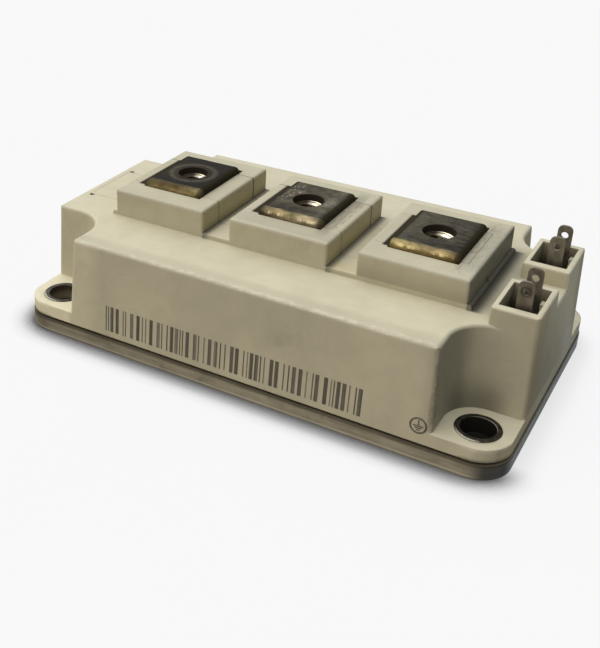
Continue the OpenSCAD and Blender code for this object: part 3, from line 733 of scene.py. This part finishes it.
def strap_fold(s, key, u):
    """Colour of a strap's fold, rubbed along X: one run of colour high on it and one low, which
    differ by painted light.
    """
    x0 = strap_x[key]
    upper, lower = STRAP_TONES[key][1:]
    grain = s.patches(0.30, 0.70, 0.9, 5, 0.60, stretch=(0.6, 1.6, 1.6), twist=0.4, shift=x0 - 15)
    gold = s.mix(s.rise(s.z, strap_top - 0.95, strap_top - 0.35), s.ramp(u, -6.5, 6.5, lower),
                 s.ramp(u, -6.5, 6.5, upper))
    gold = s.scale(gold, s.line(grain, 0.60, 0.70))
    # painted shade low on the fold
    gold = s.shade(gold, 0.40, s.rise(s.z, strap_top - 1.0, strap_top - 1.9))
    if key == "left":
        return gold
    # painted highlights in patches high on the fold
    patch = s.patches(0.44, 0.60, 0.7, 4, 0.6, stretch=(0.8, 0.2, 0.2), shift=x0 + 3)
    bright = (0.66, 0.53, 0.26) if key == "right" else (0.60, 0.50, 0.33)
    return s.coat(s.scale(gold, 0.90), bright, s.near(s.z, strap_top - 0.62, 0.10, 0.26), patch,
                  s.near(u, 0.0, 5.2, 0.8), 0.60)


def strap_metal(key):
    """Tarnished strap: dark top, rubbed gold fold in front, dark long edges, with painted light
    and shade.
    """
    s = Shader("strap_" + key)
    s.set("Specular IOR Level", 0.05)
    x0 = strap_x[key]
    u = s.minus(s.x, x0)
    fine = s.noise(2.4, 4, 0.6, shift=x0 + 40)
    # the top gives way to the fold along a wavering line
    waver = s.times(s.minus(s.noise(0.6, 3, shift=90.0), 0.5), 1.2)
    fold = s.rise(s.minus(s.y, waver), -6.7, -7.4)
    colour = s.mix(fold, strap_flat(s, key, u, fine), strap_fold(s, key, u))
    # dark coined edges, and painted shade on the sides
    left_edge = s.rise(u, 1.35 - strap_half, 0.75 - strap_half)
    right_edge = s.rise(u, strap_half - 1.4, strap_half - 0.7)
    rim = s.either(s.times(left_edge, s.dim(0.25, fold)), s.times(right_edge, s.dim(0.7, fold)))
    colour = s.coat(colour, (0.022, 0.018, 0.009), rim, 0.92)
    # painted shade on the wall of the strap's hole
    hole = s.times(s.rise(s.radius(x0, 0), 3.40, 3.26),
                   s.rise(s.z, pedestal_top - 1, pedestal_top))
    s.colour(s.coat(colour, (0.022, 0.016, 0.011), hole))
    dull = s.either(rim, hole)
    s.metal(s.times(s.invert(dull), s.line(fold, 0.35, 0.30)))
    s.rough(s.line(dull, 0.35, s.line(fine, 0.25, 0.34)))
    height = s.plus(s.times(fine, 0.7), s.times(s.noise(6.0, 2, shift=2.0), 0.4))
    s.bump(height, 0.05, 0.6)
    return s.mat


def thread_steel(key):
    """Yellow plated nut, with painted light on its right side and painted shade on its left."""
    s = Shader("nut_steel_" + key, Metallic=0.7)
    bright = s.rise(s.minus(s.x, strap_x[key]), -1.6, 0.6)
    steel = s.mix(s.patches(0.35, 0.65, 1.2, 4), (0.88, 0.83, 0.58), (1.0, 0.98, 0.84))
    s.colour(s.mix(bright, (0.050, 0.030, 0.018), steel))
    s.rough(s.plus(s.times(s.noise(2.0, 3, shift=5.0), 0.2), 0.18))
    s.bump(s.noise(5.0, 2, shift=1.0), 0.02, 0.4)
    return s.mat


def sleeve_steel():
    """Dark plated ring, with painted highlights along part of its rims and painted shade inside.
    """
    s = Shader("sleeve_steel")
    s.set("Specular IOR Level", 0.1)
    r = s.hole_radius()
    dx = s.minus(s.x, s.times(s.math("SIGN", s.x), hole_x))
    dy = s.minus(s.y, s.times(s.math("SIGN", s.y), hole_y))
    colour = s.mix(s.patches(0.35, 0.65, 0.9, 4), (0.040, 0.036, 0.028), (0.085, 0.079, 0.068))
    # 1 on the side that faces front and a little left, -1 opposite it
    toward = s.math("DIVIDE", s.plus(s.times(dx, -0.35), s.times(dy, -0.94)), r)
    on_top = s.rise(s.z, 6.2, 6.3)
    outer = s.times(s.near(r, 4.10, 0.10, 0.12), s.rise(toward, 0.66, 0.99), on_top)
    inner = s.times(s.near(r, 3.34, 0.05, 0.06), s.rise(toward, -0.40, -0.95), on_top)
    # the sleeves of the left end have weaker painted highlights, and are brown inside
    left = s.rise(s.x, 1.0, -1.0)
    painted_highlight = s.times(s.either(outer, s.times(inner, 0.6)), s.dim(0.45, left))
    colour = s.coat(colour, (0.92, 0.90, 0.80), painted_highlight)
    # painted shade inside the sleeves: near black in the right ones, brown in the left ones and
    # lighter lower down
    inside = s.times(s.rise(r, 3.28, 3.25), s.rise(s.z, 6.35, 6.2))
    brown = s.mix(s.rise(s.z, 5.8, 3.6), (0.045, 0.032, 0.020), (0.20, 0.165, 0.115))
    s.colour(s.mix(inside, colour, s.mix(left, (0.010, 0.008, 0.006), brown)))
    s.metal(s.times(s.invert(inside), 0.8))
    s.rough(s.line(s.noise(1.8, 3, shift=4.0), 0.3, s.line(inside, 0.3, 0.25)))
    s.bump(s.noise(4.0, 3, stretch=(1, 1, 0.3), shift=1.0), 0.04, 0.5)
    return s.mat


def tab_metal():
    """Dull tin, rubbed along its edges."""
    s = Shader("tab_tin", Metallic=0.5)
    fine = s.noise(0.9, 4, 0.55, stretch=(1, 1, 0.6))
    colour = s.mix(s.rise(fine, 0.30, 0.70), (0.150, 0.128, 0.092), (0.235, 0.205, 0.150))
    colour = s.coat(colour, (0.34, 0.31, 0.25), s.edges(0.12), 0.35)
    # dark around the outer front tab's hole, and painted shade on all tabs inside their wells
    r = s.length(s.minus(s.x, tab_x), s.minus(s.z, tab_hole_z))
    colour = s.coat(colour, (0.045, 0.035, 0.022), s.rise(r, 1.3, 0.7),
                    s.rise(s.y, -10.0, -11.0), 0.80)
    s.colour(s.shade(colour, 0.42, s.rise(s.z, 27.2, 25.8)))
    s.rough(s.plus(s.times(fine, 0.3), 0.28))
    s.bump(s.noise(3.5, 3, stretch=(1, 1, 0.4), shift=7.0), 0.04, 0.5)
    return s.mat


def plain_grain(name, dark, light, scale, metallic, rough):
    """Simple mottled material for pieces that the housing hides."""
    s = Shader(name, Metallic=metallic)
    s.colour(s.mix(s.patches(0.35, 0.65, scale, 4), dark, light))
    s.rough(s.plus(s.times(s.noise(scale * 2, 3, shift=6.0), 0.2), rough - 0.1))
    s.bump(s.noise(scale * 4, 3, shift=2.0), 0.02, 0.4)
    return s.mat


def print_ink():
    """Thin dark ink, paler in some of the printed lines."""
    s = Shader("print_ink", Roughness=0.6)
    ink = s.mix(s.patches(0.42, 0.66, 0.55, 2, stretch=(1, 0, 0)), (0.085, 0.074, 0.052),
                (0.20, 0.178, 0.128))
    s.colour(s.scale(ink, s.line(s.noise(0.7, 3, shift=3.0), 0.4, 0.8)))
    return s.mat


def dress(name, material):
    """Gives a CAD node its material."""
    slots = nodes[name].data.materials
    slots.clear()
    slots.append(material)


# ---------------------------------------------------------------- pieces of the scene


def make_piece(name, verts, faces, material):
    """A mesh that moves with the root; its corners are given in millimetres."""
    mesh = bpy.data.meshes.new(name)
    mesh.from_pydata([tuple(c * MM for c in v) for v in verts], [], faces)
    mesh.materials.append(material)
    piece = bpy.data.objects.new(name, mesh)
    scene.collection.objects.link(piece)
    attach(piece, "root")
    return piece


def on_front(x, z):
    """Point on the front face, in mm, standing just proud of it."""
    return (x, front_face_y(z) - PRINT_LIFT, z)


def print_strip(verts, faces, x0, x1, z0, z1):
    """Adds one printed rectangle to the lists of corners and faces."""
    first = len(verts)
    verts += [on_front(x0, z0), on_front(x1, z0), on_front(x1, z1), on_front(x0, z1)]
    faces.append((first, first + 1, first + 2, first + 3))


def make_bars(material):
    """A made-up row of printed bars with no meaning."""
    low, high, last_start, right = 4.95, 10.65, 26.4, 26.9
    verts, faces = [], []
    x, step = -30.6, 0
    while x < last_start:
        width = 0.26 + 0.26 * ((step * step + 3 * step) % 4)
        gap = 0.34 + 0.22 * ((5 * step + step * step // 3) % 5)
        print_strip(verts, faces, x, min(x + width, right), low, high)
        x += width + gap
        step += 1
    make_piece("print_bars", verts, faces, material)


def make_earth_mark(material):
    """The general sign for a protective earth: three lines under a stem, in a ring."""
    cx, cz, r = 37.6, 7.15, 1.65
    ring_width, half_line = 0.36, 0.13
    verts, faces = [], []
    turns = 48
    for i in range(turns):
        a0, a1 = 2 * math.pi * i / turns, 2 * math.pi * (i + 1) / turns
        first = len(verts)
        for rad, a in ((r - ring_width, a0), (r, a0), (r, a1), (r - ring_width, a1)):
            verts.append(on_front(cx + rad * math.cos(a), cz + rad * math.sin(a)))
        faces.append((first + 3, first + 2, first + 1, first))
    print_strip(verts, faces, cx - 0.14, cx + 0.14, cz + 0.05, cz + 1.15)
    for half, dz in ((0.95, -0.08), (0.65, -0.48), (0.35, -0.88)):
        print_strip(verts, faces, cx - half, cx + half, cz + dz - half_line,
                    cz + dz + half_line)
    make_piece("print_earth_mark", verts, faces, material)


def make_nut(key, material):
    """Hexagon nut with a real thread, in place of the CAD nut with its plain bore."""
    x0 = strap_x[key]
    z0, z1 = nut_lo[2], nut_hi[2]
    # half across flats, radius of the flat faces, thread's pitch and its inner and outer radius
    flat, pitch, crest, root = 5.0, 1.0, 2.5, 2.98
    face_r = flat - 0.1
    # the thread runs out over this height into a mouth of this radius
    runout, mouth = 0.5, root + 0.12
    around, steps = 96, 60
    angles = [2 * math.pi * k / around for k in range(around)]

    def hexagon(a):
        return flat / math.cos((a % (math.pi / 3)) - math.pi / 6)

    def bore(a, z):
        """Radius of the threaded hole."""
        phase = ((z - z0) / pitch - a / (2 * math.pi)) % 1.0
        depth = min(1.0, max(0.0, 1.35 - abs(phase - 0.5) * 3.6))
        end = min(1.0, (z - z0) / runout, (z1 - z) / runout)
        r = crest + (root - crest) * depth
        return r if end >= 1 else max(r, mouth - (mouth - crest) * end)

    # rings of (radius, height): up the bore, then down the outside with its turned corners
    rings = []
    for i in range(steps + 1):
        z = z0 + (z1 - z0) * i / steps
        rings.append([(bore(a, z), z) for a in angles])
    rings.append([(face_r, z1)] * around)
    for z in (z1 - 0.15, z1 - 0.3, z1 - 0.45, z0 + 0.45, z0 + 0.3, z0 + 0.15):
        reach = face_r + 2 * min(z1 - z, z - z0)
        rings.append([(min(hexagon(a), reach), z) for a in angles])
    rings.append([(face_r, z0)] * around)
    verts = [(x0 + r * math.cos(a), r * math.sin(a), z)
             for ring in rings for a, (r, z) in zip(angles, ring)]
    faces = []
    for i in range(len(rings)):
        j = (i + 1) % len(rings)
        for k in range(around):
            m = (k + 1) % around
            faces.append((i * around + k, j * around + k, j * around + m, i * around + m))
    piece = make_piece("threaded_nut_" + key, verts, faces, material)
    outward = bmesh.new()
    outward.from_mesh(piece.data)
    bmesh.ops.recalc_face_normals(outward, faces=outward.faces)
    outward.to_mesh(piece.data)
    outward.free()
    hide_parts("nut_" + key)


# ---------------------------------------------------------------- the scene

set_camera()
set_light()
set_floor()

dress("housing", plastic("housing_plastic", (0.467, 0.433, 0.319)))
dress("nut_carrier", plastic("carrier_plastic", (0.455, 0.420, 0.305)))
dress("baseplate", plate_metal())
dress("adhesive_seal", seal_rubber())
for key in STRAPS:
    dress("terminal_" + key, strap_metal(key))
for key in STRAPS:
    make_nut(key, thread_steel(key))
steel = sleeve_steel()
tin = tab_metal()
for place in ("front_left", "front_right", "rear_left", "rear_right"):
    dress("sleeve_" + place, steel)
for place in ("front_outer", "front_inner", "rear_inner", "rear_outer"):
    dress("signal_tab_" + place, tin)

copper = plain_grain("track_copper", (0.40, 0.17, 0.09), (0.62, 0.30, 0.17), 1.0, 1.0, 0.35)
ceramic = plain_grain("tile_ceramic", (0.74, 0.73, 0.69), (0.82, 0.81, 0.77), 0.6, 0.0, 0.5)
silicon = plain_grain("chip_silicon", (0.08, 0.085, 0.10), (0.13, 0.135, 0.155), 0.8, 0.6, 0.2)
wire = plain_grain("wire_aluminium", (0.62, 0.62, 0.61), (0.78, 0.78, 0.77), 2.0, 1.0, 0.3)
gel = plain_grain("gel_silicone", (0.50, 0.55, 0.57), (0.56, 0.60, 0.62), 0.1, 0.0, 0.15)
for side in ("left", "right"):
    dress("copper_back_" + side, copper)
    dress("copper_tracks_" + side, copper)
    dress("ceramic_tile_" + side, ceramic)
    dress("bond_wires_" + side, wire)
    for row in ("rear", "mid"):
        dress("switch_chip_" + side + "_" + row, silicon)
    for column in ("inner", "outer"):
        dress("diode_chip_" + side + "_" + column, silicon)
dress("silicone_gel", gel)

ink = print_ink()
make_bars(ink)
make_earth_mark(ink)
